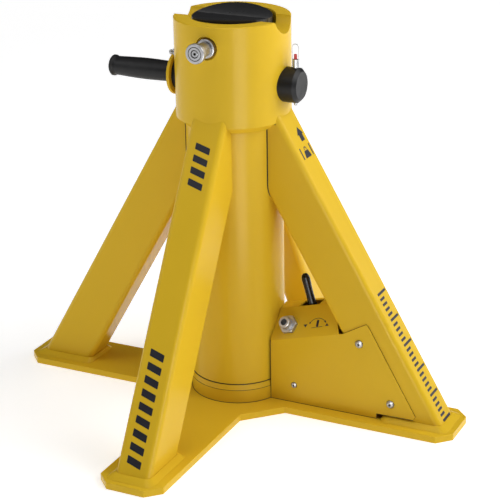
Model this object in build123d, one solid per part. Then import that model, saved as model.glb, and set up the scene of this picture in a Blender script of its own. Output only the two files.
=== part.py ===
from build123d import *
import os
from math import cos, radians, sin, tan

# Air-lifted axle jack stand, in millimetres. The origin is the centre of the base's underside, +Z is up.
# The legs stand on +X, -Y, -X and +Y. The control valve sits in a sheet cover beside the +X leg, the pull
# plunger is on -Y, and the load pin lies along X with its grip on -X.

# ---- driving dimensions ----
BASE_HALF_SPAN = 425.0
BASE_THICK = 12.5
ARM_HALF = 59.25
ARM_TIP_HALF = 35.3
ARM_TIP_CHAMFER = 23.6
CORNER_CUT = 118.5

COLLAR_TOP = 700.0
COLLAR_BOTTOM = 526.0
COLLAR_R = 100.0
COLLAR_BORE_R = 74.0
NOTCH_R = 32.0
NOTCH_Z = 708.0
GUIDE_RING_HEIGHTS = ((548.0, 556.0), (628.0, 640.0))
GUIDE_GROOVE_R = 77.0
GUIDE_RING_BORE_R = 73.3
NIPPLE_ANGLE = 197.0
NIPPLE_Z = 632.4

TUBE_R = 84.15
TUBE_BORE_R = 75.35
TUBE_BOTTOM = 37.0
TUBE_TOP = 545.0
CAP_R = 86.5
CAP_SPIGOT_TOP = 47.0
FOOT_BEAD_TOP = 48.0
COLLAR_BEAD = 11.0

LEG_LEAN = 30.17
LEG_WIDTH = 65.0
LEG_DEPTH = 89.0
LEG_WALL = 6.0
LEG_CORNER_R = 10.0
LEG_FOOT_OUTER_X = 404.2
LEG_LENGTH = 610.0
FOOT_BEAD_HEIGHT = 7.0

SEAT_PITCH = 50.0
SEAT_COUNT = 7
STROKE = SEAT_PITCH * (SEAT_COUNT - 1)
RAM_R = 73.0
RAM_INNER_R = 53.0
RAM_BOTTOM = 86.0
HEAD_BOTTOM = 640.0
HEAD_TOP = 678.0
KEYWAY_HALF = 6.4
KEYWAY_FLOOR = 67.0
KEYWAY_BOTTOM = 350.0
KEYWAY_TOP = 676.0
SADDLE_R = 68.4
SADDLE_RIM = 705.5
SADDLE_FLOOR = 698.7
SADDLE_FLOOR_HALF = 12.0
SADDLE_TURN = 20.0
SPIGOT_R = 28.0
SPIGOT_LENGTH = 12.0
PISTON_BOTTOM = 70.0
PISTON_R = 74.9
SEAL_R = 75.05

PIN_Z = 588.5
PIN_R = 30.0
PIN_HOLE_R = 30.08
PIN_END_X = 128.5
PIN_FLATS = 40.0
SEAT_R = 30.2
FLANGE_X = -105.0
FLANGE_THICK = 6.0
FLANGE_R = 38.5
GRIP_R = 16.7
GRIP_END_X = -238.0
HANDLE_ROD_R = 10.0

LOCK_X = 117.0
LOCK_R = 3.0
LOCK_TIP_Z = 553.5
BARREL_R = 4.9
BARREL_BOTTOM = 618.7
BARREL_TOP = 633.6
LOOP_PIVOT_Z = 621.5
LOOP_TOP_Z = 660.0
LOOP_HALF = 5.9
LOOP_WIRE_R = 0.6

PLUNGER_Z = 663.7
PLUNGER_FACE_Y = -140.0
PLUNGER_R = 6.0
POCKET_R = 20.0
POCKET_Y = -92.0
BUSHING_R = 10.0
BUSHING_FACE = 103.0
BUSHING_END = 115.0
KNOB_R = 17.0
KNOB_START = 104.0
KNOB_SHOULDER = 130.0
SPRING_END = 110.0
SHOULDER_END = 84.0

SHEET = 2.5
COVER_Y = 35.0
COVER_LEFT_X = 80.5
TILT = 15.0
PANEL_LEAN = 37.0
PANEL_RISE = 58.5
PANEL_START = -14.0
PANEL_END_LOW = 138.5
PANEL_END_HIGH = 128.0
ALONG = Vector(cos(radians(TILT)), 0, sin(radians(TILT)))
ABOVE = Vector(-sin(radians(TILT)), 0, cos(radians(TILT)))
UP_PANEL = ABOVE * cos(radians(PANEL_LEAN)) + Vector(0, sin(radians(PANEL_LEAN)), 0)
FOLD = Vector(77.9, -COVER_Y, 124.8)
TOP_FOLD = FOLD + UP_PANEL * PANEL_RISE
TAB_OUTLINE = [(284.0, BASE_THICK + 0.5), (284.0, 22.0), (352.0, 23.0), (355.0, 29.0), (266.0, 184.0),
               (262.0, 187.0), (218.0, 162.0)]
INLET_ALONG = 39.6
INLET_UP = 25.3
SLOT_LENGTH = 40.0
SLOT_WIDTH = 24.5
SLOT_CENTRE_X = 140.5
SLOT_CENTRE_Y = 12.5
SCREWS_M8 = ((249.7, 148.9), (309.3, 45.0))
SCREW_M6 = (126.0, 46.3)

PIVOT_DEPTH = 46.0
SPOOL_DEPTH = 70.0
SPOOL_R = 7.0
VALVE_TOP = -56.0
VALVE_BOTTOM = -100.0
VALVE_HALF_LENGTH = 32.0
VALVE_HALF_WIDTH = 13.0
VALVE_SCREW_X = (-12.0, 12.0)
VALVE_SCREW_Z = -92.0
PORT_DEPTH = 88.0
HOSE_R = 4.0
PORT_Z = 59.0

LOW = (Align.CENTER, Align.CENTER, Align.MIN)
parts = {}


# ---- small helpers ----
def cyl_z(radius, z0, z1, x=0.0, y=0.0):
    return Pos(x, y, z0) * Cylinder(radius, z1 - z0, align=LOW)


def cyl_x(radius, x0, x1, y=0.0, z=0.0):
    return Pos(x0, y, z) * Rot(0, 90, 0) * Cylinder(radius, x1 - x0, align=LOW)


def cyl_y(radius, y0, y1, x=0.0, z=0.0):
    return Pos(x, y0, z) * Rot(-90, 0, 0) * Cylinder(radius, y1 - y0, align=LOW)


def block(x0, x1, y0, y1, z0, z1):
    centre = Pos((x0 + x1) / 2, (y0 + y1) / 2, (z0 + z1) / 2)
    return centre * Box(x1 - x0, y1 - y0, z1 - z0)


def tube_z(outer, inner, z0, z1):
    return cyl_z(outer, z0, z1) - cyl_z(inner, z0 - 1, z1 + 1)


def turned(profile):
    """A solid of revolution about Z from (radius, height) points."""
    return revolve(make_face(Plane.XZ * Polyline(*profile, close=True)), Axis.Z)


def hex_prism(across_flats, z0, z1):
    return Pos(0, 0, z0) * extrude(RegularPolygon(across_flats / 2, 6, major_radius=False), z1 - z0)


def xz_plate(points, y0, y1):
    """A flat plate from (x, z) points, between two y planes."""
    face = make_face(Polyline(*[(x, y0, z) for x, z in points], close=True))
    return extrude(face, y1 - y0, dir=(0, 1, 0))


def button_screw(shank_r, shank_length, head_r, head_height, socket):
    """A button head screw along Z, its head above z = 0."""
    dome = turned([(0, 0), (head_r, 0), (head_r, head_height * 0.25), (head_r * 0.86, head_height * 0.66),
                   (head_r * 0.55, head_height), (0, head_height)])
    shank = cyl_z(shank_r, -shank_length, 0)
    return dome + shank - hex_prism(socket, head_height * 0.4, head_height + 1)


def group(solids):
    return Compound(children=list(solids))


def hose(points, radii):
    path = FilletPolyline(*points, radius=radii)
    start = Plane(origin=path @ 0, z_dir=path % 0)
    return sweep(start * Circle(HOSE_R), path=path)


def coil(radius, wire_r, length, turns):
    helix = Helix(pitch=length / turns, height=length, radius=radius)
    start = Plane(origin=helix @ 0, z_dir=helix % 0)
    return sweep(start * Circle(wire_r), path=helix, is_frenet=True)


# ---- base ----
def make_base_plate():
    quadrant = [(BASE_HALF_SPAN, -ARM_TIP_HALF), (BASE_HALF_SPAN, ARM_TIP_HALF),
                (BASE_HALF_SPAN - ARM_TIP_CHAMFER, ARM_HALF), (CORNER_CUT, ARM_HALF),
                (ARM_HALF, CORNER_CUT), (ARM_HALF, BASE_HALF_SPAN - ARM_TIP_CHAMFER)]
    outline = []
    for turn in range(4):
        a = radians(90 * turn)
        outline += [(x * cos(a) - y * sin(a), x * sin(a) + y * cos(a)) for x, y in quadrant]
    return extrude(make_face(Polyline(*outline, close=True)), BASE_THICK)


# ---- pressure tube and collar ----
def make_end_cap():
    return cyl_z(CAP_R, BASE_THICK, TUBE_BOTTOM) + cyl_z(TUBE_BORE_R, TUBE_BOTTOM, CAP_SPIGOT_TOP)


def make_column_tube():
    tube = tube_z(TUBE_R, TUBE_BORE_R, TUBE_BOTTOM, TUBE_TOP)
    return tube - cyl_x(5.0, TUBE_BORE_R - 5, TUBE_R + 5, z=PORT_Z)


def make_foot_bead():
    return turned([(TUBE_R, TUBE_BOTTOM), (CAP_R, TUBE_BOTTOM), (TUBE_R + 0.8, FOOT_BEAD_TOP - 1.5),
                   (TUBE_R, FOOT_BEAD_TOP)])


def make_collar_bead():
    low = COLLAR_BOTTOM - COLLAR_BEAD
    return turned([(TUBE_R, low), (TUBE_R + 3.6, low + 2.4), (TUBE_R + COLLAR_BEAD - 2, COLLAR_BOTTOM - 3),
                   (TUBE_R + COLLAR_BEAD, COLLAR_BOTTOM), (TUBE_R, COLLAR_BOTTOM)])


def make_collar():
    collar = cyl_z(COLLAR_R, COLLAR_BOTTOM, COLLAR_TOP)
    collar = chamfer(collar.edges().filter_by(GeomType.CIRCLE), 1.5)
    collar -= cyl_z(COLLAR_BORE_R, COLLAR_BOTTOM - 1, COLLAR_TOP + 1)
    collar -= cyl_z(TUBE_R, COLLAR_BOTTOM - 1, TUBE_TOP)
    for low, high in GUIDE_RING_HEIGHTS:
        collar -= cyl_z(GUIDE_GROOVE_R, low, high)
    collar -= cyl_x(NOTCH_R, -COLLAR_R - 5, COLLAR_R + 5, z=NOTCH_Z)
    collar -= cyl_x(PIN_HOLE_R, -COLLAR_R - 5, COLLAR_R + 5, z=PIN_Z)
    collar -= cyl_y(POCKET_R, -COLLAR_R - 5, POCKET_Y, z=PLUNGER_Z)
    collar -= cyl_y(BUSHING_R, POCKET_Y - 1, -COLLAR_BORE_R + 10, z=PLUNGER_Z)
    collar -= nipple_place() * cyl_z(3.0, -12, 20)
    return collar


def make_guide_rings():
    return group(tube_z(GUIDE_GROOVE_R, GUIDE_RING_BORE_R, low, high) for low, high in GUIDE_RING_HEIGHTS)


def nipple_place():
    """Where the grease nipple stands on the collar: local Z points out of the surface."""
    angle = radians(NIPPLE_ANGLE)
    out = Vector(cos(angle), sin(angle), 0)
    return Plane(origin=out * COLLAR_R + Vector(0, 0, NIPPLE_Z), z_dir=out).location


def make_grease_nipple():
    body = turned([(0, -10), (3.0, -10), (3.0, 0), (5.6, 0), (5.6, 3.4), (2.9, 4.2), (2.9, 4.8), (0, 4.8)])
    return nipple_place() * (body + Pos(0, 0, 6.8) * Sphere(4.2))


# ---- legs ----
def leg_plane():
    centre_x = LEG_FOOT_OUTER_X - LEG_DEPTH / cos(radians(LEG_LEAN)) / 2
    along = (-sin(radians(LEG_LEAN)), 0, cos(radians(LEG_LEAN)))
    across = (cos(radians(LEG_LEAN)), 0, sin(radians(LEG_LEAN)))
    return Plane(origin=(centre_x, 0, BASE_THICK), x_dir=across, z_dir=along)


def leg_bar(inset=0.0):
    """The leg's rectangular section, swept past both ends of the leg."""
    corner = LEG_CORNER_R - inset * 0.75
    section = RectangleRounded(LEG_DEPTH - 2 * inset, LEG_WIDTH - 2 * inset, corner)
    return leg_plane().offset(-80) * extrude(section, LEG_LENGTH + 80)


def make_leg(with_screw_holes):
    column = cyl_z(TUBE_R, 0, COLLAR_BOTTOM) + cyl_z(COLLAR_R, COLLAR_BOTTOM, COLLAR_TOP)
    column += make_collar_bead()
    leg = leg_bar() - leg_bar(LEG_WALL) - column
    leg -= block(-100, 600, -100, 100, -200, BASE_THICK)
    if with_screw_holes:
        for x, z in SCREWS_M8:
            leg -= cyl_y(4.0, -COVER_Y, COVER_Y, x, z)
    return leg.solids().sort_by(SortBy.VOLUME)[-1]


def make_foot_bead_round_leg():
    """A tapered bead that goes right round the leg's foot."""
    low = Pos(353.5, 0, BASE_THICK) * RectangleRounded(125, 90, 14)
    high = Pos(348.5, 0, BASE_THICK + FOOT_BEAD_HEIGHT) * RectangleRounded(109, 67, 11)
    return loft([low, high]) - leg_bar()


# ---- ram ----
def make_ram_tube():
    ram = tube_z(RAM_R, RAM_INNER_R, RAM_BOTTOM, HEAD_BOTTOM)
    lowest = PIN_Z - STROKE
    for seat in range(SEAT_COUNT):
        ram -= cyl_x(SEAT_R, -RAM_R - 5, RAM_R + 5, z=lowest + seat * SEAT_PITCH)
    neck = PIN_FLATS / 2 + 0.3
    ram -= block(-RAM_R - 5, RAM_R + 5, -neck, neck, lowest, PIN_Z)
    ram -= block(-KEYWAY_HALF, KEYWAY_HALF, -RAM_R - 5, -KEYWAY_FLOOR, KEYWAY_BOTTOM, HEAD_BOTTOM + 1)
    return ram


def make_ram_head():
    """The solid plug that closes the ram's top, with a socket for the saddle's spigot."""
    head = cyl_z(RAM_R, HEAD_BOTTOM, HEAD_TOP) + cyl_z(RAM_INNER_R, HEAD_BOTTOM - 15, HEAD_BOTTOM)
    head -= cyl_z(SPIGOT_R, HEAD_TOP - SPIGOT_LENGTH, HEAD_TOP + 1)
    return head - block(-KEYWAY_HALF, KEYWAY_HALF, -RAM_R - 5, -KEYWAY_FLOOR, HEAD_BOTTOM - 1, KEYWAY_TOP)


def make_saddle():
    """A thick disc with a shallow trough across its top, turned a little away from X."""
    disc = cyl_z(SADDLE_R, HEAD_TOP, SADDLE_RIM) + cyl_z(SPIGOT_R, HEAD_TOP - SPIGOT_LENGTH, HEAD_TOP)
    halfway = (SADDLE_R + SADDLE_FLOOR_HALF) / 2
    sag = (SADDLE_RIM - SADDLE_FLOOR) * 0.31
    floor_end = (0, SADDLE_FLOOR_HALF, SADDLE_FLOOR)
    floor_start = (0, -SADDLE_FLOOR_HALF, SADDLE_FLOOR)
    left = ThreePointArc((0, -SADDLE_R, SADDLE_RIM), (0, -halfway, SADDLE_FLOOR + sag), floor_start)
    floor = Line(floor_start, floor_end)
    right = ThreePointArc(floor_end, (0, halfway, SADDLE_FLOOR + sag), (0, SADDLE_R, SADDLE_RIM))
    lid = Polyline((0, SADDLE_R, SADDLE_RIM), (0, SADDLE_R + 5, SADDLE_RIM + 5),
                   (0, -SADDLE_R - 5, SADDLE_RIM + 5), (0, -SADDLE_R, SADDLE_RIM))
    trough = extrude(make_face(left + floor + right + lid), SADDLE_R + 5, dir=(1, 0, 0), both=True)
    return disc - Rot(0, 0, SADDLE_TURN) * trough


def make_piston():
    piston = cyl_z(PISTON_R, PISTON_BOTTOM, RAM_BOTTOM) + cyl_z(RAM_INNER_R, RAM_BOTTOM, RAM_BOTTOM + 10)
    return piston - tube_z(PISTON_R + 1, 70.0, PISTON_BOTTOM + 5, PISTON_BOTTOM + 11)


def make_piston_seal():
    return tube_z(SEAL_R, 70.0, PISTON_BOTTOM + 5, PISTON_BOTTOM + 11)


# ---- load pin ----
def make_load_pin():
    pin = cyl_x(PIN_R, FLANGE_X, PIN_END_X, z=PIN_Z)
    pin = chamfer(pin.edges().sort_by(Axis.X)[-1], 6.0)
    half = PIN_FLATS / 2
    reach = COLLAR_BORE_R - 0.2
    for low, high in ((half, PIN_R + 1), (-PIN_R - 1, -half)):
        pin -= block(-reach, reach, low, high, PIN_Z - PIN_R - 1, PIN_Z + PIN_R + 1)
    pin -= cyl_z(LOCK_R + 0.08, PIN_Z - PIN_R - 1, PIN_Z + PIN_R + 1, x=LOCK_X)
    return pin


def make_pin_flange():
    plate = cyl_x(FLANGE_R, FLANGE_X - FLANGE_THICK, FLANGE_X, z=PIN_Z)
    plate = chamfer(plate.edges().filter_by(GeomType.CIRCLE), 0.8)
    return plate - cyl_x(HANDLE_ROD_R, FLANGE_X - FLANGE_THICK - 1, FLANGE_X + 1, z=PIN_Z)


def make_handle_rod():
    return cyl_x(HANDLE_ROD_R, GRIP_END_X + 6, FLANGE_X, z=PIN_Z)


def make_hand_grip():
    inner = FLANGE_X - FLANGE_THICK
    length = inner - GRIP_END_X
    r = GRIP_R
    outline = [(HANDLE_ROD_R, 0), (r + 0.4, 0), (r + 1.2, length * 0.15), (r + 1.9, length * 0.32),
               (r + 2.1, length * 0.45), (r + 1.8, length * 0.58), (r + 1.1, length * 0.72),
               (r, length - 11), (r + 0.6, length - 8), (r + 1.9, length - 6), (r + 1.9, length - 2.5),
               (r - 0.5, length), (0, length), (0, length - 6), (HANDLE_ROD_R, length - 6)]
    return Pos(inner, 0, PIN_Z) * Rot(0, -90, 0) * turned(outline)


# ---- ball lock pin through the load pin ----
def make_lock_shank():
    tip = turned([(0, LOCK_TIP_Z), (LOCK_R - 1, LOCK_TIP_Z), (LOCK_R, LOCK_TIP_Z + 1),
                  (LOCK_R, BARREL_BOTTOM), (0, BARREL_BOTTOM)])
    return Pos(LOCK_X, 0, 0) * tip - group(lock_ball_spheres())


def lock_ball_spheres():
    return [Pos(LOCK_X, side * 1.75, LOCK_TIP_Z + 2.8) * Sphere(1.2) for side in (-1, 1)]


def make_lock_barrel():
    barrel = turned([(0, BARREL_BOTTOM), (BARREL_R - 0.5, BARREL_BOTTOM), (BARREL_R, BARREL_BOTTOM + 0.5),
                     (BARREL_R, BARREL_TOP - 0.6), (BARREL_R - 0.6, BARREL_TOP), (0, BARREL_TOP)])
    barrel -= cyl_z(2.7, BARREL_TOP - 7, BARREL_TOP + 1)
    barrel -= cyl_x(LOOP_WIRE_R + 0.08, -BARREL_R - 1, -2.0, z=LOOP_PIVOT_Z)
    barrel -= cyl_x(LOOP_WIRE_R + 0.08, 2.0, BARREL_R + 1, z=LOOP_PIVOT_Z)
    return Pos(LOCK_X, 0, 0) * barrel


def make_lock_button():
    button = turned([(0, BARREL_TOP - 3.4), (2.6, BARREL_TOP - 3.4), (2.6, BARREL_TOP + 7.9),
                     (2.1, BARREL_TOP + 8.4), (0, BARREL_TOP + 8.4)])
    return Pos(LOCK_X, 0, 0) * button


def make_lock_loop():
    h = LOOP_HALF
    shoulder = LOOP_TOP_Z - LOOP_WIRE_R - h
    path = FilletPolyline((-2.3, 0, LOOP_PIVOT_Z), (-h, 0, LOOP_PIVOT_Z), (-h, 0, shoulder), radius=0.95)
    path += ThreePointArc((-h, 0, shoulder), (0, 0, shoulder + h), (h, 0, shoulder))
    path += FilletPolyline((h, 0, shoulder), (h, 0, LOOP_PIVOT_Z), (2.3, 0, LOOP_PIVOT_Z), radius=0.95)
    start = Plane(origin=(-2.3, 0, LOOP_PIVOT_Z), z_dir=(-1, 0, 0))
    return Pos(LOCK_X, 0, 0) * sweep(start * Circle(LOOP_WIRE_R), path=path)


# ---- pull plunger, modelled with local Z pointing out of the collar (-Y) ----
def plunger_place():
    return Plane(origin=(0, 0, PLUNGER_Z), x_dir=(1, 0, 0), z_dir=(0, -1, 0)).location


def make_plunger_bushing():
    body = turned([(PLUNGER_R + 0.08, 74.6), (BUSHING_R, 74.6), (BUSHING_R, -POCKET_Y), (16.25, -POCKET_Y),
                   (16.25, BUSHING_FACE - 1.2), (15.0, BUSHING_FACE), (BUSHING_R, BUSHING_FACE),
                   (BUSHING_R, BUSHING_END), (PLUNGER_R + 0.08, BUSHING_END), (PLUNGER_R + 0.08, SPRING_END),
                   (8.2, SPRING_END), (8.2, 79.5), (PLUNGER_R + 0.08, 79.5)])
    return plunger_place() * body


def make_plunger_shaft():
    shaft = turned([(0, 67.8), (PLUNGER_R - 1, 67.8), (PLUNGER_R, 68.8), (PLUNGER_R, 81.0), (7.8, 81.0),
                    (7.8, SHOULDER_END), (PLUNGER_R, SHOULDER_END), (PLUNGER_R, 126.0), (3.0, 126.0),
                    (3.0, 118.0), (0, 118.0)])
    return plunger_place() * shaft


def make_plunger_knob():
    face = -PLUNGER_FACE_Y
    knob = turned([(10.6, KNOB_START), (12.25, KNOB_START), (12.25, KNOB_SHOULDER - 2),
                   (13.6, KNOB_SHOULDER - 0.5), (KNOB_R - 1.0, KNOB_SHOULDER), (KNOB_R, KNOB_SHOULDER + 1.2),
                   (KNOB_R, face - 1.4), (KNOB_R - 1.2, face), (12.0, face), (12.0, face - 0.9),
                   (10.9, face - 0.9), (10.9, face), (7.0, face), (7.0, face - 5), (3.2, face - 5),
                   (3.2, 126.0), (10.6, 126.0)])
    return plunger_place() * knob


def make_plunger_screw():
    face = -PLUNGER_FACE_Y
    screw = turned([(0, 118.0), (3.0, 118.0), (3.0, face - 5), (5.8, face - 5), (5.8, face - 1.0),
                    (5.2, face - 0.5), (0, face - 0.5)])
    return plunger_place() * (screw - hex_prism(5.0, face - 3.5, face + 1))


def make_plunger_spring():
    wire = 0.6
    spring = coil(7.1, wire, SPRING_END - SHOULDER_END - 2.4 * wire, 6)
    return plunger_place() * Pos(0, 0, SHOULDER_END + 1.2 * wire) * spring


# ---- valve cover ----
def roof_z(x):
    return TOP_FOLD.Z + (x - TOP_FOLD.X) * tan(radians(TILT))


def fold_z(x):
    return FOLD.Z + (x - FOLD.X) * tan(radians(TILT))


def panel_location():
    """Local X runs along the fold, local Y up the slanted panel, local Z out of it."""
    return Plane(origin=FOLD, x_dir=ALONG, z_dir=ALONG.cross(UP_PANEL)).location


def roof_location():
    """Origin at the slot's centre on the roof; local X along the roof, local Z out of it."""
    origin = Vector(SLOT_CENTRE_X, SLOT_CENTRE_Y, roof_z(SLOT_CENTRE_X))
    return Plane(origin=origin, x_dir=ALONG, z_dir=ABOVE).location


def column_clearance():
    return cyl_z(TUBE_R + 1.0, BASE_THICK, COLLAR_BOTTOM) + cyl_z(CAP_R + 0.8, 0, FOOT_BEAD_TOP)


def make_valve_cover():
    fold_end_x = FOLD.X + PANEL_END_LOW * ALONG.X
    front = [(COVER_LEFT_X, BASE_THICK + 0.5)] + TAB_OUTLINE
    front += [(fold_end_x, fold_z(fold_end_x)), (COVER_LEFT_X, fold_z(COVER_LEFT_X))]
    cover = xz_plate(front, -COVER_Y, -COVER_Y + SHEET)
    panel = [(PANEL_START, 0), (PANEL_END_LOW, 0), (PANEL_END_HIGH, PANEL_RISE), (PANEL_START, PANEL_RISE)]
    sheet = extrude(make_face(Polyline(*panel, close=True)), -SHEET)
    cover += panel_location() * sheet
    roof_low = TOP_FOLD.Y - SLOT_CENTRE_Y
    roof_end = TOP_FOLD.X + PANEL_END_HIGH * ALONG.X - SLOT_CENTRE_X
    roof = block(-72.0, roof_end, roof_low, COVER_Y - SLOT_CENTRE_Y, -SHEET, 0)
    roof -= block(-SLOT_LENGTH / 2, SLOT_LENGTH / 2, -SLOT_WIDTH / 2, SLOT_WIDTH / 2, -SHEET - 9, 9)
    cover += roof_location() * roof
    cover -= block(0, COVER_LEFT_X, -COVER_Y - 5, COVER_Y + 5, 0, 260)
    cover -= column_clearance()
    cover -= leg_bar()
    cover -= panel_location() * cyl_z(8.1, -9, 9, INLET_ALONG, INLET_UP)
    cover -= cyl_y(3.2, -COVER_Y - 5, 0, *SCREW_M6)
    for x, z in SCREWS_M8:
        cover -= cyl_y(4.2, -COVER_Y - 5, 0, x, z)
    return cover


def make_rear_cover():
    under = SHEET / cos(radians(TILT))
    right_x = 190.0
    back = [(COVER_LEFT_X, BASE_THICK + 0.5)] + TAB_OUTLINE
    back += [(right_x, roof_z(right_x) - under), (COVER_LEFT_X, roof_z(COVER_LEFT_X) - under)]
    plate = xz_plate(back, COVER_Y - SHEET, COVER_Y) - column_clearance()
    plate -= cyl_y(3.2, 0, COVER_Y + 5, *SCREW_M6)
    for x, z in SCREWS_M8:
        plate -= cyl_y(4.2, 0, COVER_Y + 5, x, z)
    return plate


def cover_screws(places, screw):
    """One screw through each cover plate at each place: front ones face -Y, rear ones +Y."""
    front = [Pos(x, -COVER_Y, z) * Rot(90, 0, 0) * screw for x, z in places]
    rear = [Pos(x, COVER_Y, z) * Rot(-90, 0, 0) * screw for x, z in places]
    return group(front + rear)


def make_cover_spacer():
    x, z = SCREW_M6
    reach = COVER_Y - SHEET
    return cyl_y(7.0, -reach, reach, x, z) - cyl_y(3.0, -reach - 1, reach + 1, x, z)


# ---- compressed air ----
def make_air_inlet():
    body = hex_prism(30.0, 0, 8.0)
    body &= turned([(0, -1), (16.2, -1), (16.2, 0.2), (17.3, 1.2), (17.3, 6.8), (15.6, 8.0), (15.6, 9),
                    (0, 9)])
    body += turned([(0, 7.5), (11.5, 7.5), (10.5, 9.5), (10.5, 20.2), (9.7, 21.0), (0, 21.0)])
    body += cyl_z(8.0, -22.0, 0.5)
    body -= cyl_z(6.0, 4.0, 22.0)
    return panel_location() * Pos(INLET_ALONG, INLET_UP, 0) * body


def make_inlet_nut():
    nut = hex_prism(24.0, -SHEET - 6.0, -SHEET) - cyl_z(8.0, -20, 5)
    return panel_location() * Pos(INLET_ALONG, INLET_UP, 0) * nut


def make_valve_body():
    body = block(-VALVE_HALF_LENGTH, VALVE_HALF_LENGTH, -VALVE_HALF_WIDTH, VALVE_HALF_WIDTH,
                 VALVE_BOTTOM, VALVE_TOP)
    for low, high in ((6.0, 11.0), (-11.0, -6.0)):
        lug = block(-7, 7, low, high, VALVE_TOP, -PIVOT_DEPTH)
        lug += cyl_y(7.0, low, high, z=-PIVOT_DEPTH)
        body += lug
    body -= cyl_y(2.5, -20, 20, z=-PIVOT_DEPTH)
    body -= cyl_x(SPOOL_R + 0.08, -VALVE_HALF_LENGTH - 1, VALVE_HALF_LENGTH + 1, z=-SPOOL_DEPTH)
    body -= block(-8.5, 8.5, -4.7, 4.7, -SPOOL_DEPTH, VALVE_TOP + 1)
    body -= cyl_x(3.0, -VALVE_HALF_LENGTH - 1, -24, z=-PORT_DEPTH)
    body -= cyl_x(3.0, 24, VALVE_HALF_LENGTH + 1, z=-PORT_DEPTH)
    body -= cyl_z(3.0, VALVE_BOTTOM - 1, -92)
    for x in VALVE_SCREW_X:
        body -= cyl_y(2.0, 0, VALVE_HALF_WIDTH + 1, x, VALVE_SCREW_Z)
    return roof_location() * body


def make_valve_plugs():
    plug = cyl_x(SPOOL_R + 0.08, 28.0, VALVE_HALF_LENGTH, z=-SPOOL_DEPTH)
    plug -= Pos(0, 0, -SPOOL_DEPTH) * Rot(0, 90, 0) * hex_prism(6.0, 30.0, VALVE_HALF_LENGTH + 1)
    return roof_location() * group([plug, Rot(0, 0, 180) * plug])


def make_valve_bracket():
    low_y = SLOT_CENTRE_Y + VALVE_HALF_WIDTH
    plate = block(140, 188, low_y, low_y + 3, BASE_THICK, 112)
    cuts = [roof_location() * cyl_y(2.2, 0, 30, x, VALVE_SCREW_Z) for x in VALVE_SCREW_X]
    return plate - cuts[0] - cuts[1]


def make_valve_screws():
    screw = Rot(-90, 0, 0) * button_screw(2.0, 12.0, 3.8, 2.4, 2.5)
    seat = VALVE_HALF_WIDTH + 3
    return roof_location() * group(Pos(x, seat, VALVE_SCREW_Z) * screw for x in VALVE_SCREW_X)


def make_valve_spool():
    spool = cyl_x(SPOOL_R, -22, 22) - (cyl_x(SPOOL_R + 1, -3.1, 3.1) - cyl_x(2.5, -3.1, 3.1))
    return roof_location() * Pos(0, 0, -SPOOL_DEPTH) * spool


def make_valve_fittings():
    side = cyl_x(6.0, -VALVE_HALF_LENGTH - 6, -VALVE_HALF_LENGTH, z=-PORT_DEPTH)
    below = cyl_z(6.0, VALVE_BOTTOM - 6, VALVE_BOTTOM)
    return roof_location() * group([side, below])


def make_silencer():
    start = VALVE_HALF_LENGTH
    muffler = turned([(0, start), (6.5, start), (6.5, start + 5), (5.6, start + 5), (5.6, start + 19),
                      (4.2, start + 22), (0, start + 22)])
    return roof_location() * Pos(0, 0, -PORT_DEPTH) * Rot(0, 90, 0) * muffler


def make_cylinder_port():
    port = Pos(0, 0, PORT_Z) * Rot(0, 90, 0) * hex_prism(16.0, TUBE_R + 1.5, TUBE_R + 8)
    port += cyl_x(4.9, TUBE_BORE_R, TUBE_R + 2, z=PORT_Z)
    return port + cyl_x(6.0, TUBE_R + 7, TUBE_R + 14, z=PORT_Z)


def on_roof(x, y, z):
    return (roof_location() * Pos(x, y, z)).position


def make_supply_hose():
    outward = ALONG.cross(UP_PANEL)
    start = FOLD + ALONG * INLET_ALONG + UP_PANEL * INLET_UP - outward * 22.0
    bend = start - outward * 12.0
    end = on_roof(-VALVE_HALF_LENGTH - 6, 0, -PORT_DEPTH)
    low = end - ALONG * 21.0
    return hose([start, bend, low, end], [7.0, 8.0])


def make_lift_hose():
    start = on_roof(0, 0, VALVE_BOTTOM - 6)
    drop = start - ABOVE * ((start.Z - PORT_Z) / ABOVE.Z)
    return hose([start, drop, Vector(138, 0, PORT_Z), Vector(TUBE_R + 14, 0, PORT_Z)], [12.0, 30.0])


# ---- control lever ----
def make_lever_pivot():
    return roof_location() * cyl_y(2.5, -11.0, 11.0, z=-PIVOT_DEPTH)


def make_lever_spring():
    rings = tube_z(5.2, 4.0, 0, 3.6)
    leg = block(-0.6, 0.6, -16, -4.4, 0, 1.2)
    spring = Pos(0, 11.0, -PIVOT_DEPTH) * Rot(-90, 0, 0) * (rings + leg)
    return roof_location() * (spring - cyl_y(2.5, -20, 20, z=-PIVOT_DEPTH))


def make_lever_rod():
    rod = cyl_z(4.0, -60, 40) + cyl_y(7.0, -5.6, 5.6, z=-PIVOT_DEPTH)
    rod += cyl_z(2.2, -64.2, -60) + Pos(0, 0, -64.2) * Sphere(3.0)
    rod -= cyl_y(2.55, -20, 20, z=-PIVOT_DEPTH)
    return roof_location() * rod


def make_lever_grip():
    grip = turned([(4.0, -6), (8.4, -6), (7.6, 3), (6.9, 16), (7.1, 30), (7.7, 44), (7.2, 49), (5.6, 53),
                   (3.2, 55.3), (0, 56), (0, 40), (4.0, 40)])
    return roof_location() * grip


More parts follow.
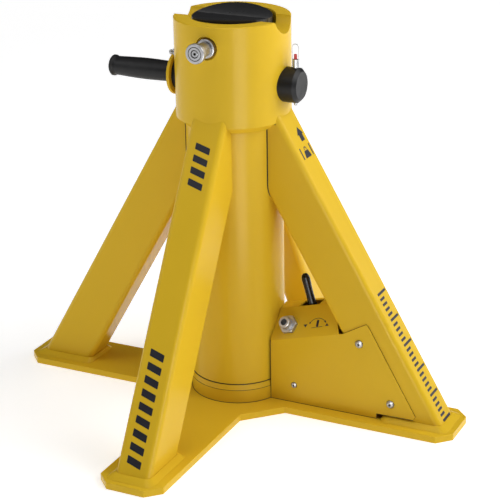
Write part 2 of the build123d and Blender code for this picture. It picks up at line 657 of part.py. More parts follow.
# ---- the list of sub-parts ----
parts["base_plate"] = make_base_plate()
parts["cylinder_end_cap"] = make_end_cap()
parts["column_tube"] = make_column_tube()
parts["column_foot_weld"] = make_foot_bead()
parts["collar"] = make_collar()
parts["collar_weld"] = make_collar_bead()
parts["guide_rings"] = make_guide_rings()
parts["grease_nipple"] = make_grease_nipple()
plain_leg = make_leg(with_screw_holes=False)
parts["leg_right"] = make_leg(with_screw_holes=True)
for name, angle in (("leg_front", -90), ("leg_left", 180), ("leg_rear", 90)):
    parts[name] = Rot(0, 0, angle) * plain_leg
foot_weld = make_foot_bead_round_leg()
parts["leg_foot_welds"] = group(Rot(0, 0, 90 * turn) * foot_weld for turn in range(4))
parts["ram_tube"] = make_ram_tube()
parts["ram_head"] = make_ram_head()
parts["saddle"] = make_saddle()
parts["piston"] = make_piston()
parts["piston_seal"] = make_piston_seal()
parts["load_pin"] = make_load_pin()
parts["pin_flange"] = make_pin_flange()
parts["handle_rod"] = make_handle_rod()
parts["hand_grip"] = make_hand_grip()
parts["lock_pin_shank"] = make_lock_shank()
parts["lock_pin_balls"] = group(lock_ball_spheres())
parts["lock_pin_barrel"] = make_lock_barrel()
parts["lock_pin_button"] = make_lock_button()
parts["lock_pin_loop"] = make_lock_loop()
parts["plunger_bushing"] = make_plunger_bushing()
parts["plunger_shaft"] = make_plunger_shaft()
parts["plunger_knob"] = make_plunger_knob()
parts["plunger_screw"] = make_plunger_screw()
parts["plunger_spring"] = make_plunger_spring()
parts["valve_cover"] = make_valve_cover()
parts["rear_cover"] = make_rear_cover()
parts["cover_screws_m8"] = cover_screws(SCREWS_M8, button_screw(3.95, 12.0, 7.0, 4.4, 5.0))
parts["cover_screws_m6"] = cover_screws([SCREW_M6], button_screw(2.95, 12.0, 5.25, 3.3, 4.0))
parts["cover_spacer"] = make_cover_spacer()
parts["air_inlet"] = make_air_inlet()
parts["inlet_nut"] = make_inlet_nut()
parts["valve_body"] = make_valve_body()
parts["valve_plugs"] = make_valve_plugs()
parts["valve_bracket"] = make_valve_bracket()
parts["valve_screws"] = make_valve_screws()
parts["valve_spool"] = make_valve_spool()
parts["valve_fittings"] = make_valve_fittings()
parts["silencer"] = make_silencer()
parts["cylinder_port"] = make_cylinder_port()
parts["supply_hose"] = make_supply_hose()
parts["lift_hose"] = make_lift_hose()
parts["lever_pivot_pin"] = make_lever_pivot()
parts["lever_spring"] = make_lever_spring()
parts["lever_rod"] = make_lever_rod()
parts["lever_grip"] = make_lever_grip()

os.makedirs("parts", exist_ok=True)
for name, shape in parts.items():
    export_step(shape, f"parts/{name}.step")
pivot = on_roof(0, 0, -PIVOT_DEPTH)
print("lever pivot", [round(v, 3) for v in pivot], "stroke", STROKE, "seats", SEAT_COUNT)
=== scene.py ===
import math

import bmesh
import bpy
from mathutils import Matrix, Vector


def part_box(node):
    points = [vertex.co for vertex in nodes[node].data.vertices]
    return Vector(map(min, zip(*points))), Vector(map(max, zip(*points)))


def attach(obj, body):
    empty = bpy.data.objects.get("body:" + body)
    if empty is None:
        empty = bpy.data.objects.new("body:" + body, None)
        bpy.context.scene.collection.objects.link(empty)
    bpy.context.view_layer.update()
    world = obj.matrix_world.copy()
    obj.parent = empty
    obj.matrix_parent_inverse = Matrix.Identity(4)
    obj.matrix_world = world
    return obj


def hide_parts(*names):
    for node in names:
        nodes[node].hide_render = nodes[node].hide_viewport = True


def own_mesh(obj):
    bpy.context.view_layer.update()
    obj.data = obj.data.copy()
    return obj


# The looks of an air-lifted axle jack stand, in metres, around its CAD frame.

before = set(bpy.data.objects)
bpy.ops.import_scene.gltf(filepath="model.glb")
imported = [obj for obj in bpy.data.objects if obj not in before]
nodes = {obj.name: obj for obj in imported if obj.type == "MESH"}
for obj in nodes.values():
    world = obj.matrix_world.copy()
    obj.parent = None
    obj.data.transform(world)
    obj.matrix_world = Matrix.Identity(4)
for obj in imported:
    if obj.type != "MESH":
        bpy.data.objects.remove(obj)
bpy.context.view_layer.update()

MM = 0.001

# ---- camera: looks down at the stand's front right corner ----
VIEW_AZIMUTH = 26.113
VIEW_ELEVATION = 21.232
VIEW_ROLL = -0.989
VIEW_DISTANCE = 2.91658
TARGET_HEIGHT = 0.27238
TARGET_RIGHT = 0.02333
SENSOR_MM = 36.0
LENS_MM = 117.81

# ---- legs, column and base ----
LEG_LEAN = math.radians(30.17)
LEG_FOOT_X = 0.4042
LEG_DEPTH = 0.089
LEG_WIDTH = 0.065
LEG_CORNER = 0.010
COLLAR_R = 0.100
COLLAR_BOTTOM = 0.526
TUBE_R = 0.08415
CAP_R = 0.0865
CAP_TOP = 0.037
FOOT_BEAD_TOP = 0.048
BASE_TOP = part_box("base_plate")[1].z

# ---- the valve cover and its screws: outlines and centres are X and Z ----
COVER_Y = 0.035
COVER_TAB = ((0.352, 0.0228), (0.3552, 0.0291), (0.2662, 0.1842), (0.2621, 0.1872), (0.218, 0.1622))
COVER_FOOT = ((0.0803, 0.126), (0.0803, 0.0128), (0.284, 0.0128), (0.284, 0.0218), (0.352, 0.0228))
SCREWS_M8 = ((0.2497, 0.1489), (0.3093, 0.045))
SCREWS_M6 = ((0.126, 0.0463),)
HEAD_R_M8 = 7.0 * MM
HEAD_R_M6 = 5.25 * MM
ROOF_TILT = math.radians(15)
PANEL_LEAN = math.radians(37)
PANEL_CORNER = Vector((0.0779, -0.035, 0.1248))

# ---- the plunger ----
KNOB_Z = 0.6637
KNOB_FACE_Y = -0.140
KNOB_GROOVE_R = 11.45 * MM
KNOB_SCREW_GAP_R = 6.4 * MM


def azimuth_frame(azimuth):
    """Unit vectors to the right and away from the object for a viewer at that azimuth."""
    a = math.radians(azimuth)
    return Vector((math.cos(a), math.sin(a), 0)), Vector((math.sin(a), -math.cos(a), 0))


def direction(azimuth, elevation):
    """The unit vector from the object to a viewer at that azimuth and elevation."""
    e = math.radians(elevation)
    out = azimuth_frame(azimuth)[1]
    return out * math.cos(e) + Vector((0, 0, math.sin(e)))


# ---- camera ----
def make_camera():
    back = direction(VIEW_AZIMUTH, VIEW_ELEVATION)
    right = azimuth_frame(VIEW_AZIMUTH)[0]
    up = back.cross(right)
    roll = math.radians(VIEW_ROLL)
    right_rolled = right * math.cos(roll) + up * math.sin(roll)
    up_rolled = up * math.cos(roll) - right * math.sin(roll)
    place = Vector((0, 0, TARGET_HEIGHT)) + right * TARGET_RIGHT + back * VIEW_DISTANCE
    data = bpy.data.cameras.new("camera")
    data.sensor_width = SENSOR_MM
    data.lens = LENS_MM
    data.clip_end = 100.0
    camera = bpy.data.objects.new("camera", data)
    turn = Matrix((right_rolled, up_rolled, back)).transposed().to_4x4()
    camera.matrix_world = Matrix.Translation(place) @ turn
    bpy.context.scene.collection.objects.link(camera)
    bpy.context.scene.camera = camera


# ---- material helpers ----
def new_material(name, colour, roughness, metallic=0.0, **sockets):
    """A plain material; any other socket of its shader is given by name, with _ for a space."""
    material = bpy.data.materials.new(name)
    material.use_nodes = True
    shader = material.node_tree.nodes["Principled BSDF"]
    shader.inputs["Base Color"].default_value = (*colour, 1.0)
    shader.inputs["Roughness"].default_value = roughness
    shader.inputs["Metallic"].default_value = metallic
    for socket, value in sockets.items():
        shader.inputs[socket.replace("_", " ")].default_value = value
    return material


def noise(material, scale, detail):
    """Noise in the piece's own coordinates, in metres, so it stays on the piece as it moves."""
    tree = material.node_tree
    where = tree.nodes.new("ShaderNodeTexCoord")
    texture = tree.nodes.new("ShaderNodeTexNoise")
    texture.inputs["Scale"].default_value = scale
    texture.inputs["Detail"].default_value = detail
    tree.links.new(where.outputs["Object"], texture.inputs["Vector"])
    return texture.outputs["Fac"]


def vary_colour(material, first, second, pattern):
    """The base colour runs from the first to the second with the pattern."""
    tree = material.node_tree
    ramp = tree.nodes.new("ShaderNodeValToRGB")
    ramp.color_ramp.elements[0].position = 0.35
    ramp.color_ramp.elements[0].color = (*first, 1.0)
    ramp.color_ramp.elements[1].position = 0.65
    ramp.color_ramp.elements[1].color = (*second, 1.0)
    tree.links.new(pattern, ramp.inputs["Fac"])
    tree.links.new(ramp.outputs["Color"], tree.nodes["Principled BSDF"].inputs["Base Color"])


def vary_roughness(material, low, high, pattern):
    """The roughness runs from low to high with the pattern."""
    tree = material.node_tree
    span = tree.nodes.new("ShaderNodeMapRange")
    span.inputs["From Min"].default_value = 0.3
    span.inputs["From Max"].default_value = 0.7
    span.inputs["To Min"].default_value = low
    span.inputs["To Max"].default_value = high
    tree.links.new(pattern, span.inputs["Value"])
    tree.links.new(span.outputs["Result"], tree.nodes["Principled BSDF"].inputs["Roughness"])


def add_bump(material, height, strength, depth):
    """Bump with that depth in metres."""
    tree = material.node_tree
    bump = tree.nodes.new("ShaderNodeBump")
    bump.inputs["Strength"].default_value = strength
    bump.inputs["Distance"].default_value = depth
    tree.links.new(height, bump.inputs["Height"])
    tree.links.new(bump.outputs["Normal"], tree.nodes["Principled BSDF"].inputs["Normal"])


# ---- finishes, one for each material slot ----
BLACK_STEEL = (0.0125, 0.0125, 0.0135)


def make_yellow_paint():
    light, dark = (0.755, 0.486, 0.026), (0.735, 0.472, 0.024)
    paint = new_material("finish_yellow_paint", light, 0.24, Specular_IOR_Level=0.11)
    vary_colour(paint, dark, light, noise(paint, 5.0, 4.0))
    vary_roughness(paint, 0.22, 0.26, noise(paint, 30.0, 4.0))
    add_bump(paint, noise(paint, 420.0, 2.0), 0.12, 0.12 * MM)
    return paint


def make_black_steel():
    dark = (0.008, 0.008, 0.009)
    steel = new_material("finish_black_steel", BLACK_STEEL, 0.40, Specular_IOR_Level=0.28)
    vary_colour(steel, dark, BLACK_STEEL, noise(steel, 24.0, 5.0))
    vary_roughness(steel, 0.36, 0.48, noise(steel, 60.0, 5.0))
    add_bump(steel, noise(steel, 260.0, 3.0), 0.10, 0.12 * MM)
    return steel


def make_saddle_painted_highlight():
    """The saddle's top: black like the ram, with a painted highlight line along the seat's middle and
    painted sheen fading across its far half.
    """
    steel = new_material("finish_saddle_painted_highlight", BLACK_STEEL, 0.34, Specular_IOR_Level=0.4)
    tree = steel.node_tree
    where = tree.nodes.new("ShaderNodeTexCoord")
    split = tree.nodes.new("ShaderNodeSeparateXYZ")
    tree.links.new(where.outputs["Object"], split.inputs["Vector"])
    wander = tree.nodes.new("ShaderNodeMath")
    wander.operation = "MULTIPLY_ADD"
    wander.inputs[1].default_value = 10.0 * MM
    tree.links.new(noise(steel, 70.0, 4.0), wander.inputs[0])
    tree.links.new(split.outputs["Y"], wander.inputs[2])
    span = tree.nodes.new("ShaderNodeMapRange")
    span.inputs["From Min"].default_value = -20.0 * MM
    span.inputs["From Max"].default_value = 60.0 * MM
    tree.links.new(wander.outputs["Value"], span.inputs["Value"])
    ramp = tree.nodes.new("ShaderNodeValToRGB")
    # Painted highlight: black up to the middle line, a bright line just past it, then painted sheen that
    # fades to black across the far half.
    highlight_stops = ((0.29, BLACK_STEEL), (0.33, (0.075, 0.075, 0.075)), (0.40, (0.040, 0.040, 0.041)),
             (0.62, (0.024, 0.024, 0.025)), (0.95, (0.016, 0.016, 0.017)))
    for i, (place, colour) in enumerate(highlight_stops):
        stop = ramp.color_ramp.elements[0] if i == 0 else ramp.color_ramp.elements.new(place)
        stop.position = place
        stop.color = (*colour, 1.0)
    ramp.color_ramp.elements.remove(ramp.color_ramp.elements[-1])
    tree.links.new(span.outputs["Result"], ramp.inputs["Fac"])
    tree.links.new(ramp.outputs["Color"], tree.nodes["Principled BSDF"].inputs["Base Color"])
    vary_roughness(steel, 0.26, 0.44, noise(steel, 60.0, 5.0))
    add_bump(steel, noise(steel, 90.0, 4.0), 0.15, 0.6 * MM)
    return steel


def make_metal(name, light, dark, rough_low, rough_high, scale=90.0):
    """Bare metal, a little uneven in colour and polish."""
    metal = new_material(name, light, rough_low, metallic=1.0)
    vary_colour(metal, dark, light, noise(metal, scale, 4.0))
    vary_roughness(metal, rough_low, rough_high, noise(metal, scale * 2.5, 4.0))
    return metal


def make_grained(name, light, dark, rough_low, rough_high, grain, depth):
    """Rubber, moulded plastic or ink with a fine grain."""
    soft = new_material(name, light, rough_low, Specular_IOR_Level=0.35)
    vary_colour(soft, dark, light, noise(soft, grain * 0.08, 4.0))
    vary_roughness(soft, rough_low, rough_high, noise(soft, grain * 0.2, 4.0))
    add_bump(soft, noise(soft, grain, 2.0), 0.25, depth)
    return soft


finishes = {
    "yellow_paint": make_yellow_paint(),
    "black_steel": make_black_steel(),
    "bright_steel": make_metal("finish_bright_steel", (0.50, 0.50, 0.51), (0.44, 0.44, 0.45),
                               0.34, 0.42, 40.0),
    "dark_steel": make_metal("finish_dark_steel", (0.12, 0.12, 0.13), (0.07, 0.07, 0.08), 0.35, 0.5),
    "grip_rubber": make_grained("finish_grip_rubber", (0.011, 0.011, 0.012), (0.008, 0.008, 0.009),
                                0.40, 0.54, 1400.0, 0.08 * MM),
    "black_plastic": make_grained("finish_black_plastic", (0.008, 0.008, 0.009), (0.005, 0.005, 0.006),
                                  0.22, 0.30, 1800.0, 0.02 * MM),
    "red_plastic": make_grained("finish_red_plastic", (0.62, 0.012, 0.012), (0.50, 0.008, 0.010),
                                0.28, 0.38, 1800.0, 0.04 * MM),
    "guide_plastic": make_grained("finish_guide_plastic", (0.10, 0.07, 0.04), (0.07, 0.05, 0.03),
                                  0.45, 0.6, 900.0, 0.05 * MM),
    "seal_rubber": make_grained("finish_seal_rubber", (0.015, 0.015, 0.016), (0.010, 0.010, 0.011),
                                0.5, 0.62, 900.0, 0.05 * MM),
    "valve_aluminium": make_metal("finish_valve_aluminium", (0.60, 0.61, 0.62), (0.52, 0.53, 0.54),
                                  0.38, 0.5),
    "brass": make_metal("finish_brass", (0.66, 0.47, 0.18), (0.52, 0.35, 0.12), 0.22, 0.36),
    "hose_plastic": make_grained("finish_hose_plastic", (0.014, 0.016, 0.022), (0.010, 0.011, 0.016),
                                 0.32, 0.45, 700.0, 0.05 * MM),
}
# Painted shade for the dark lines in joints, creases and grooves and for the screws' sockets.
gap_shade = make_grained("finish_gap_shade", (0.018, 0.013, 0.003), (0.010, 0.008, 0.002),
                         0.7, 0.8, 900.0, 0.02 * MM)
ink = make_grained("finish_marking_ink", (0.016, 0.016, 0.026), (0.012, 0.012, 0.020),
                   0.34, 0.46, 900.0, 0.03 * MM)


def dress_nodes():
    """Each CAD slot gets its finish; the saddle's own has a painted highlight."""
    for node in nodes.values():
        for place in node.material_slots:
            place.material = finishes[place.material.name]
    nodes["saddle"].material_slots[0].material = make_saddle_painted_highlight()


# ---- softened edges on CAD nodes ----
SOFT_EDGES = {
    "leg_right": 0.5 * MM,
    "leg_front": 0.5 * MM,
    "leg_left": 0.5 * MM,
    "leg_rear": 0.5 * MM,
    "base_plate": 1.0 * MM,
    "valve_cover": 0.6 * MM,
    "rear_cover": 0.6 * MM,
    "collar": 0.6 * MM,
    "pin_flange": 0.4 * MM,
    "saddle": 0.8 * MM,
    "load_pin": 0.6 * MM,
    "plunger_knob": 0.3 * MM,
    "air_inlet": 0.4 * MM,
    "leg_foot_welds": 1.0 * MM,
}


def soften(node, width):
    """Rounds a node's sharp edges a little, as its sheared, sawn or painted edges are."""
    piece = nodes[node]
    weld = piece.modifiers.new("weld", "WELD")
    weld.merge_threshold = 0.01 * MM
    bevel = piece.modifiers.new("bevel", "BEVEL")
    bevel.width = width
    bevel.segments = 3
    bevel.limit_method = "ANGLE"
    bevel.angle_limit = math.radians(35)
    bevel.use_clamp_overlap = True
    bevel.harden_normals = False
    normals = piece.modifiers.new("normals", "WEIGHTED_NORMAL")
    normals.keep_sharp = False


# ---- the plunger's spring ----
def make_spring():
    """A copy of the spring with its own mesh, in the node's place on the stand; the node itself is hidden.
    """
    rest = nodes["plunger_spring"]
    spring = rest.copy()
    spring.data = rest.data.copy()
    spring.name = "spring_wire"
    bpy.context.scene.collection.objects.link(spring)
    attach(spring, "stand")
    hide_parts("plunger_spring")
    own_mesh(spring)


# ---- new pieces ----
def add_piece(name, data, material, body):
    """A new piece with one material, riding on a body."""
    data.materials.append(material)
    piece = bpy.data.objects.new(name, data)
    bpy.context.scene.collection.objects.link(piece)
    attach(piece, body)


# ---- painted shade: dark lines in the joints, creases and grooves, round the screws and in their sockets ----
def leg_end_line(turn, side):
    """Where one side of a leg meets the column and the collar's underside, from its low edge up."""
    half_deep, half_wide = LEG_DEPTH / 2 - LEG_CORNER, LEG_WIDTH / 2 - LEG_CORNER
    lean = Vector((-math.sin(LEG_LEAN), 0, math.cos(LEG_LEAN)))
    across = Vector((math.cos(LEG_LEAN), 0, math.sin(LEG_LEAN)))
    foot = Vector((LEG_FOOT_X - LEG_DEPTH / 2 / math.cos(LEG_LEAN), 0, BASE_TOP))
    around = Matrix.Rotation(math.radians(turn), 3, "Z")
    section = []
    for a in [math.radians(10 * k) for k in range(2, 9)]:
        section.append((-half_deep - LEG_CORNER * math.cos(a), half_wide + LEG_CORNER * math.sin(a)))
    for k in range(25):
        section.append((-half_deep + 2 * half_deep * k / 24, half_wide + LEG_CORNER))
    for a in [math.radians(10 * k) for k in range(1, 7)]:
        section.append((half_deep + LEG_CORNER * math.sin(a), half_wide + LEG_CORNER * math.cos(a)))
    points = []
    for u, v in section:
        start = foot + across * u + Vector((0, v * side, 0))
        collar_way = (start.x - math.sqrt(COLLAR_R ** 2 - v * v)) / math.sin(LEG_LEAN)
        tube_way = (start.x - math.sqrt(TUBE_R ** 2 - v * v)) / math.sin(LEG_LEAN)
        under_way = (COLLAR_BOTTOM - start.z) / math.cos(LEG_LEAN)
        if collar_way < under_way:
            points.append(around @ (start + lean * min(under_way, tube_way)))
    return points


def ring_points(radius, height, count=96):
    """Points round a circle about Z."""
    turns = [2 * math.pi * k / count for k in range(count)]
    return [Vector((radius * math.cos(a), radius * math.sin(a), height)) for a in turns]


def shade_disc(name, place, radius, height, body):
    """Painted shade in a screw's socket: a dark hexagon."""
    mesh = bmesh.new()
    rim = [mesh.verts.new(point) for point in ring_points(radius, height, 6)]
    mesh.faces.new(rim)
    data = bpy.data.meshes.new(name)
    mesh.to_mesh(data)
    mesh.free()
    data.transform(place)
    add_piece(name, data, gap_shade, body)


def shade_line(name, points, radius, closed=False, body="stand"):
    """A thin dark round line through the points: painted shade where parts meet or a groove sinks in."""
    data = bpy.data.curves.new(name, "CURVE")
    data.dimensions = "3D"
    data.bevel_depth = radius
    data.bevel_resolution = 2
    spline = data.splines.new("POLY")
    spline.points.add(len(points) - 1)
    for i, point in enumerate(points):
        spline.points[i].co = (*point, 1.0)
    spline.use_cyclic_u = closed
    add_piece(name, data, gap_shade, body)


# ---- printed marks ----
INK_THICK = 0.12 * MM
INK_SINK = 0.05 * MM


def leg_face(turn):
    """The frame of a leg's outer face: X across it, Y up along it from the base, Z out of it."""
    out = Vector((math.cos(LEG_LEAN), 0, math.sin(LEG_LEAN)))
    along = Vector((-math.sin(LEG_LEAN), 0, math.cos(LEG_LEAN)))
    across = along.cross(out)
    place = Matrix((across, along, out)).transposed().to_4x4()
    place = Matrix.Translation((LEG_FOOT_X, 0, BASE_TOP)) @ place
    return Matrix.Rotation(math.radians(turn), 4, "Z") @ place


def panel_face():
    """The frame of the cover's slanted panel: X along its lower fold, Y up it, Z out of it."""
    along = Vector((math.cos(ROOF_TILT), 0, math.sin(ROOF_TILT)))
    above = Vector((-math.sin(ROOF_TILT), 0, math.cos(ROOF_TILT)))
    up = above * math.cos(PANEL_LEAN) + Vector((0, 1, 0)) * math.sin(PANEL_LEAN)
    place = Matrix((along, up, along.cross(up))).transposed().to_4x4()
    return Matrix.Translation(PANEL_CORNER) @ place


def rounded(outline, radius, steps=4):
    """The outline with each corner rounded by a small curve."""
    points = []
    count = len(outline)
    for i in range(count):
        corner = Vector(outline[i])
        to_last = (Vector(outline[i - 1]) - corner).normalized()
        to_next = (Vector(outline[(i + 1) % count]) - corner).normalized()
        reach = min(radius, 0.45 * (Vector(outline[i - 1]) - corner).length,
                    0.45 * (Vector(outline[(i + 1) % count]) - corner).length)
        for k in range(steps + 1):
            t = k / steps
            first = corner + to_last * reach * (1 - t)
            second = corner + to_next * reach * t
            points.append(tuple(first * (1 - t) + second * t))
    return points


def print_mark(name, place, outlines):
    """A thin film of ink in one or more closed outlines on a flat face, riding on the stand."""
    mesh = bmesh.new()
    for outline in outlines:
        low = [mesh.verts.new((x, y, -INK_SINK)) for x, y in outline]
        high = [mesh.verts.new((x, y, INK_THICK)) for x, y in outline]
        mesh.faces.new(high)
        mesh.faces.new(list(reversed(low)))
        for i in range(len(outline)):
            j = (i + 1) % len(outline)
            mesh.faces.new((low[i], low[j], high[j], high[i]))
    bmesh.ops.recalc_face_normals(mesh, faces=mesh.faces)
    data = bpy.data.meshes.new(name)
    mesh.to_mesh(data)
    mesh.free()
    data.transform(place)
    add_piece(name, data, ink, "stand")


def arc_points(centre, radius, start, end, steps):
    """Points along an arc between two angles in degrees."""
    points = []
    for k in range(steps + 1):
        a = math.radians(start + (end - start) * k / steps)
        points.append((centre[0] + radius * math.cos(a), centre[1] + radius * math.sin(a)))
    return points


def arc_band(centre, radius, width, start, end, steps=16):
    """A curved stroke."""
    outer = arc_points(centre, radius + width / 2, start, end, steps)
    return outer + arc_points(centre, radius - width / 2, end, start, steps)


def bar(first, second, width):
    """A straight stroke from one point to another."""
    first, second = Vector(first), Vector(second)
    side = (second - first).normalized().orthogonal() * width / 2
    return [tuple(first + side), tuple(first - side), tuple(second - side), tuple(second + side)]


def arrow_up(centre_x, low, high, head, width, shaft):
    """An arrow that points up the leg."""
    neck = high - head
    half, stem = width / 2, shaft / 2
    return [(centre_x - stem, low), (centre_x + stem, low), (centre_x + stem, neck), (centre_x + half, neck),
            (centre_x, high), (centre_x - half, neck), (centre_x - stem, neck)]


def arrow_head(tip, heading, length, width):
    """A small triangle that points along a heading in degrees."""
    a = math.radians(heading)
    along, side = Vector((math.cos(a), math.sin(a))), Vector((-math.sin(a), math.cos(a)))
    tip = Vector(tip)
    end = tip - along * length
    return [tuple(tip), tuple(end + side * width / 2), tuple(end - side * width / 2)]


def load_pictogram(centre_x, low, high):
    """A weight: a trapezoid block with a ring on top, between two bars."""
    top = low + (high - low) * 0.62
    block = [(centre_x - 11 * MM, low), (centre_x + 11 * MM, low),
             (centre_x + 7 * MM, top), (centre_x - 7 * MM, top)]
    ring = arc_band((centre_x, top + 2.5 * MM), 3.6 * MM, 2.0 * MM, -20, 200)
    left = bar((centre_x - 18 * MM, low), (centre_x - 18 * MM, high), 3.5 * MM)
    right = bar((centre_x + 18 * MM, low), (centre_x + 18 * MM, high), 3.5 * MM)
    return [rounded(block, 1.5 * MM), ring, left, right]


def scale_ticks(left, right, low, high, count):
    """A row of cross strokes up the leg, every fifth one over the full width."""
    pitch = (high - low) / (count - 1)
    ticks = []
    for i in range(count):
        y = low + i * pitch
        reach = right if i % 5 == 0 else left + (right - left) * 0.55
        ticks.append(rounded(bar((left, y), (reach, y), 4.6 * MM), 0.8 * MM))
    return ticks


def panel_label():
    """The valve's label: a lever symbol on a base line, its arc of travel and an arrow each way."""
    lever = rounded(bar((94.8 * MM, 17.3 * MM), (97.1 * MM, 29.9 * MM), 4.6 * MM), 2.2 * MM, 6)
    ground = bar((84.0 * MM, 16.2 * MM), (105.4 * MM, 17.2 * MM), 0.8 * MM)
    centre = (96.0 * MM, 14.0 * MM)
    travel = arc_band(centre, 19.0 * MM, 0.8 * MM, 38, 142)
    left_tip = arrow_head((79.3 * MM, 23.4 * MM), 232, 4.0 * MM, 4.0 * MM)
    right_tip = arrow_head((112.7 * MM, 23.4 * MM), -52, 4.0 * MM, 4.0 * MM)
    down = [(68.0 * MM, 23.5 * MM), (76.0 * MM, 23.5 * MM), (72.0 * MM, 18.0 * MM)]
    up = [(111.0 * MM, 17.5 * MM), (118.0 * MM, 17.5 * MM), (114.5 * MM, 22.5 * MM)]
    return [lever, ground, travel, left_tip, right_tip, down, up]


def slanted_stripes(centre_x, low, high, width, count, slant, fill=0.56):
    """Warning stripes across a band from low to high: parallelograms with rounded corners."""
    pitch = (high - low - slant) / (count - 1 + fill)
    stripes = []
    for i in range(count):
        y = low + i * pitch
        left, right = centre_x - width / 2, centre_x + width / 2
        stripe = [(left, y + slant), (right, y), (right, y + pitch * fill), (left, y + slant + pitch * fill)]
        stripes.append(rounded(stripe, 1.2 * MM))
    return stripes


# ---- lights, floor and surroundings ----
FLOOR_REACH = 12.0
FLOOR_GLOW = 0.49
FAR_GLOW = 1.75
SKY = 0.04
# Each light: azimuth and elevation in degrees, distance, width and height in metres, power in watts.
LIGHTS = {
    "key_right": (72, 40, 3.2, 1.8, 1.8, 18.0),
    "key_side": (100, 38, 3.2, 1.6, 1.8, 36.0),
    "key_back": (118, 45, 3.2, 1.6, 1.8, 10.0),
    "left": (-60, 30, 3.2, 1.8, 2.0, 19.0),
    "left_front": (-25, 52, 3.2, 1.6, 1.6, 9.0),
    "rim_right": (135, 22, 3.2, 1.2, 2.4, 24.0),
    "top": (26, 86, 3.5, 2.0, 2.0, 24.0),
}
LIGHT_AIM_HEIGHT = 0.33
# A close upright panel that only shows as a reflection, set like the others.
BAND = (39, 0, 0.75, 0.31, 0.60, 3.2)
BAND_AIM_HEIGHT = 0.30


def area_light(name, azimuth, elevation, distance, width, height, power, aim_height=LIGHT_AIM_HEIGHT):
    """A soft rectangular light that faces the stand's axis."""
    data = bpy.data.lights.new(name, "AREA")
    data.shape = "RECTANGLE"
    data.size = width
    data.size_y = height
    data.energy = power
    light = bpy.data.objects.new(name, data)
    away = direction(azimuth, elevation)
    light.location = Vector((0, 0, aim_height)) + away * distance
    light.rotation_mode = "QUATERNION"
    light.rotation_quaternion = (-away).to_track_quat("-Z", "Y")
    bpy.context.scene.collection.objects.link(light)
    return light


def make_floor():
    """A pale floor that glows a little, more so far away, so that it stays white right to the back."""
    data = bpy.data.meshes.new("floor")
    corners = [(x * FLOOR_REACH, y * FLOOR_REACH, 0) for x, y in ((-1, -1), (1, -1), (1, 1), (-1, 1))]
    data.from_pydata(corners, [], [(0, 1, 2, 3)])
    floor = bpy.data.objects.new("floor", data)
    bpy.context.scene.collection.objects.link(floor)
    white = new_material("floor_white", (0.90, 0.90, 0.90), 0.9, Specular_IOR_Level=0.0,
                         Emission_Color=(1.0, 1.0, 1.0, 1.0))
    tree = white.node_tree
    where = tree.nodes.new("ShaderNodeTexCoord")
    away = tree.nodes.new("ShaderNodeVectorMath")
    away.operation = "LENGTH"
    glow = tree.nodes.new("ShaderNodeMapRange")
    glow.inputs["From Min"].default_value = 0.5
    glow.inputs["From Max"].default_value = 4.0
    glow.inputs["To Min"].default_value = FLOOR_GLOW
    glow.inputs["To Max"].default_value = FLOOR_GLOW * FAR_GLOW
    tree.links.new(where.outputs["Object"], away.inputs[0])
    tree.links.new(away.outputs["Value"], glow.inputs["Value"])
    tree.links.new(glow.outputs["Result"], tree.nodes["Principled BSDF"].inputs["Emission Strength"])
    data.materials.append(white)


def make_world():
    world = bpy.data.worlds.new("studio")
    world.use_nodes = True
    world.node_tree.nodes["Background"].inputs["Color"].default_value = (1.0, 1.0, 1.0, 1.0)
    world.node_tree.nodes["Background"].inputs["Strength"].default_value = SKY
    bpy.context.scene.world = world


def light_stand():
    for name, setting in LIGHTS.items():
        area_light(name, *setting)
    band = area_light("band", *BAND, aim_height=BAND_AIM_HEIGHT)
    band.visible_diffuse = False


# ---- the scene ----
make_camera()
dress_nodes()
make_spring()
for node, width in SOFT_EDGES.items():
    soften(node, width)

front_leg, right_leg = leg_face(-90), leg_face(0)
print_mark("mark_front_upper", front_leg, slanted_stripes(1 * MM, 0.490, 0.571, 28 * MM, 4, 8 * MM))
print_mark("mark_front_lower", front_leg, slanted_stripes(-1 * MM, 0.020, 0.219, 27 * MM, 9, 8 * MM))
print_mark("mark_arrow_up", right_leg, [arrow_up(9.5 * MM, 0.552, 0.578, 14 * MM, 22 * MM, 13 * MM)])
print_mark("mark_load", right_leg, load_pictogram(1 * MM, 0.523, 0.544))
print_mark("mark_scale", right_leg, scale_ticks(-12 * MM, 21 * MM, 0.010, 0.258, 26))
print_mark("mark_panel", panel_face(), panel_label())
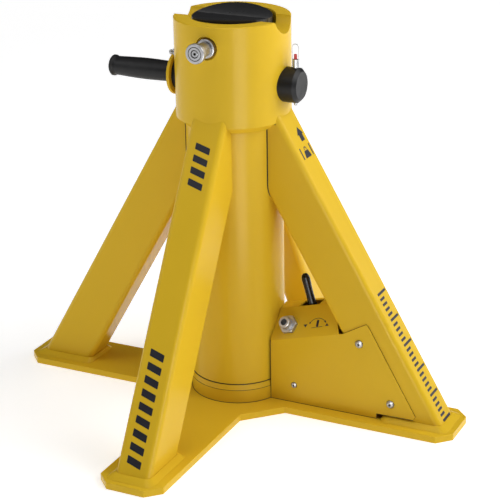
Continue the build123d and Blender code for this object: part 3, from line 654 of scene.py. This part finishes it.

# Painted shade along the cover's edges and round the screw heads, with a dark hexagon for each socket.
shade_line("seam_cover_tab", [Vector((x, -LEG_WIDTH / 2 - 0.2 * MM, z)) for x, z in COVER_TAB], 0.3 * MM)
cover_foot = [Vector((x, -COVER_Y + 0.3 * MM, z)) for x, z in COVER_FOOT]
shade_line("seam_cover_foot", cover_foot, 0.7 * MM)
for label, size, places in (("m8", HEAD_R_M8, SCREWS_M8), ("m6", HEAD_R_M6, SCREWS_M6)):
    for i, (x, z) in enumerate(places):
        for side in (-1, 1):
            face_out = Matrix.Rotation(-side * math.pi / 2, 4, "X")
            screw = Matrix.Translation((x, side * COVER_Y, z)) @ face_out
            tag = f"{label}_{i}_{'ab'[side > 0]}"
            ring = [screw @ point for point in ring_points(size + 0.15 * MM, 0.1 * MM, 40)]
            shade_line("seam_screw_" + tag, ring, 0.3 * MM, closed=True)
            shade_disc("socket_" + tag, screw, size * 0.34, size * 0.30, "stand")
# Painted shade in the knob's groove, round its screw and in its socket.
knob = Matrix.Translation((0, KNOB_FACE_Y, KNOB_Z)) @ Matrix.Rotation(math.pi / 2, 4, "X")
groove = [knob @ point for point in ring_points(KNOB_GROOVE_R, -0.55 * MM, 64)]
shade_line("seam_knob_groove", groove, 0.7 * MM, True, "plunger")
gap = [knob @ point for point in ring_points(KNOB_SCREW_GAP_R, -0.9 * MM, 48)]
shade_line("seam_knob_screw", gap, 0.7 * MM, True, "plunger")
shade_disc("socket_knob", knob, 2.4 * MM, -3.3 * MM, "plunger")
# Painted shade in the creases at the column's foot.
shade_line("seam_foot_bead", ring_points(TUBE_R + 0.5 * MM, FOOT_BEAD_TOP), 0.8 * MM, closed=True)
shade_line("seam_foot_cap", ring_points(CAP_R + 0.1 * MM, CAP_TOP), 0.35 * MM, closed=True)
shade_line("seam_foot_base", ring_points(CAP_R + 0.1 * MM, BASE_TOP), 0.7 * MM, closed=True)
# Painted shade where the legs meet the column and the collar.
for name, turn, radius in (("right", 0, 1.3 * MM), ("left", 180, 1.7 * MM)):
    for side in (-1, 1):
        shade_line(f"seam_leg_{name}_{'ab'[side > 0]}", leg_end_line(turn, side), radius)

make_floor()
make_world()
light_stand()
bpy.context.scene.view_settings.view_transform = "Standard"
